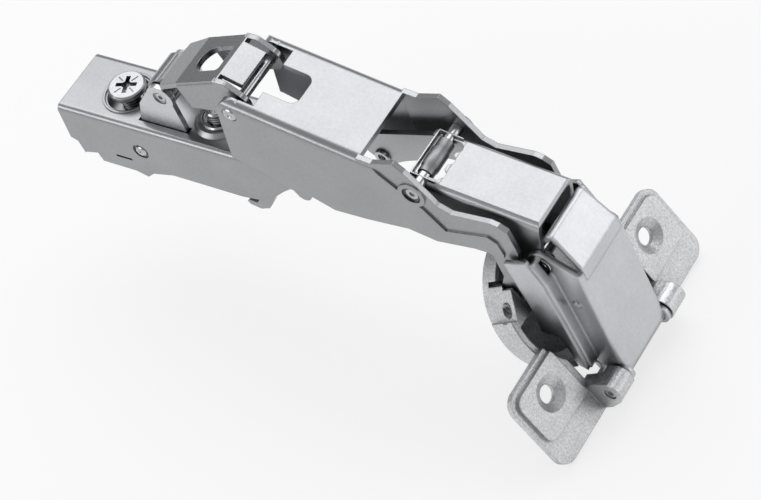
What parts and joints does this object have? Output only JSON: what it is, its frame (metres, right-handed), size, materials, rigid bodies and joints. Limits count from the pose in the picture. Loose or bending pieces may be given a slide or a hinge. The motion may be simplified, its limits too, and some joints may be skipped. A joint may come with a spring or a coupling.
{
  "type": "concealed cup hinge",
  "caption": "Wide-angle concealed cabinet door hinge: channel arm, folding scissor of steel links and a cup with two screw wings, shown open.",
  "frame": {"origin": "middle of the arm's rear top edge, on the outer face of the arm's top plate", "axes": "+X along the arm from its rear edge toward the cup, +Z out of the arm's top plate, away from the cabinet side, +Y across"},
  "size_m": [0.1405, 0.064, 0.0682],
  "materials": {
    "steel_sheet": "nickel-plated pressed steel sheet, satin",
    "steel_pin": "nickel-plated steel pins, rivets and screws, bright",
    "die_cast": "nickel-plated zinc die-casting, fine grain",
    "spring_wire": "spring steel wire, dark"
  },
  "bodies": {
    "arm": {"arm_channel": "steel_sheet", "inner_channel": "steel_sheet", "ear_bracket": "steel_sheet", "ear_pin": "steel_pin", "screw_bush": "steel_pin", "catch_rivet": "steel_pin", "catch_spring": "spring_wire", "lower_axle": "steel_pin", "closing_spring": "spring_wire"},
    "depth_adjuster": {"depth_screw": "steel_pin"},
    "side_adjuster": {"side_screw": "steel_pin"},
    "catch": {"release_catch": "steel_sheet"},
    "inner": {"inner_lever": "steel_sheet", "spring_stud": "steel_pin", "front_rivets": "steel_pin"},
    "outer": {"outer_lever": "steel_sheet", "middle_axle": "steel_pin", "axle_barrel": "steel_pin", "top_pin": "steel_pin"},
    "rear": {"rear_link": "steel_sheet"},
    "front": {"front_link": "steel_sheet"},
    "door_cup": {"cup": "die_cast", "knuckle_pin": "steel_pin", "cup_pin": "steel_pin"}
  },
  "joints": [
    {"name": "lower_pivot", "type": "hinge", "parent": "arm", "child": "inner", "pos_m": [0.07316, 0, 0.00247], "axis": [0, -1, 0], "range_deg": [0, 130]},
    {"name": "middle_pivot", "type": "hinge", "parent": "inner", "child": "outer", "pos_m": [0.09845, 0, 0.00737], "axis": [0, -1, 0], "range_deg": [-124.1, 0]},
    {"name": "top_pivot", "type": "hinge", "parent": "outer", "child": "rear", "pos_m": [0.05578, 0, 0.01786], "axis": [0, -1, 0], "range_deg": [0, 120.5]},
    {"name": "front_pivot", "type": "hinge", "parent": "inner", "child": "front", "pos_m": [0.12538, 0, -0.00698], "axis": [0, -1, 0], "range_deg": [-116.7, 0]},
    {"name": "knuckle_pivot", "type": "hinge", "parent": "front", "child": "door_cup", "pos_m": [0.13762, 0, -0.03789], "axis": [0, -1, 0], "range_deg": [0, 136.7]},
    {"name": "depth_screw_turn", "type": "hinge", "parent": "arm", "child": "depth_adjuster", "pos_m": [0.0152, 0, 0], "axis": [0, 0, 1], "continuous": true},
    {"name": "side_screw_turn", "type": "hinge", "parent": "arm", "child": "side_adjuster", "pos_m": [0.0402, 0, 0], "axis": [0, 0, 1], "continuous": true},
    {"name": "catch_release", "type": "hinge", "parent": "arm", "child": "catch", "pos_m": [0.0209, 0, -0.0081], "axis": [0, 1, 0], "range_deg": [0, 5], "stiffness_Nm_per_rad": 0.05, "springref_deg": -11.46}
  ],
  "couplings": [
    {"joint": "middle_pivot", "follows": "lower_pivot", "ratio": -0.954},
    {"joint": "top_pivot", "follows": "lower_pivot", "ratio": 0.926},
    {"joint": "front_pivot", "follows": "lower_pivot", "ratio": -0.897},
    {"joint": "knuckle_pivot", "follows": "lower_pivot", "ratio": 1.0508}
  ]
}
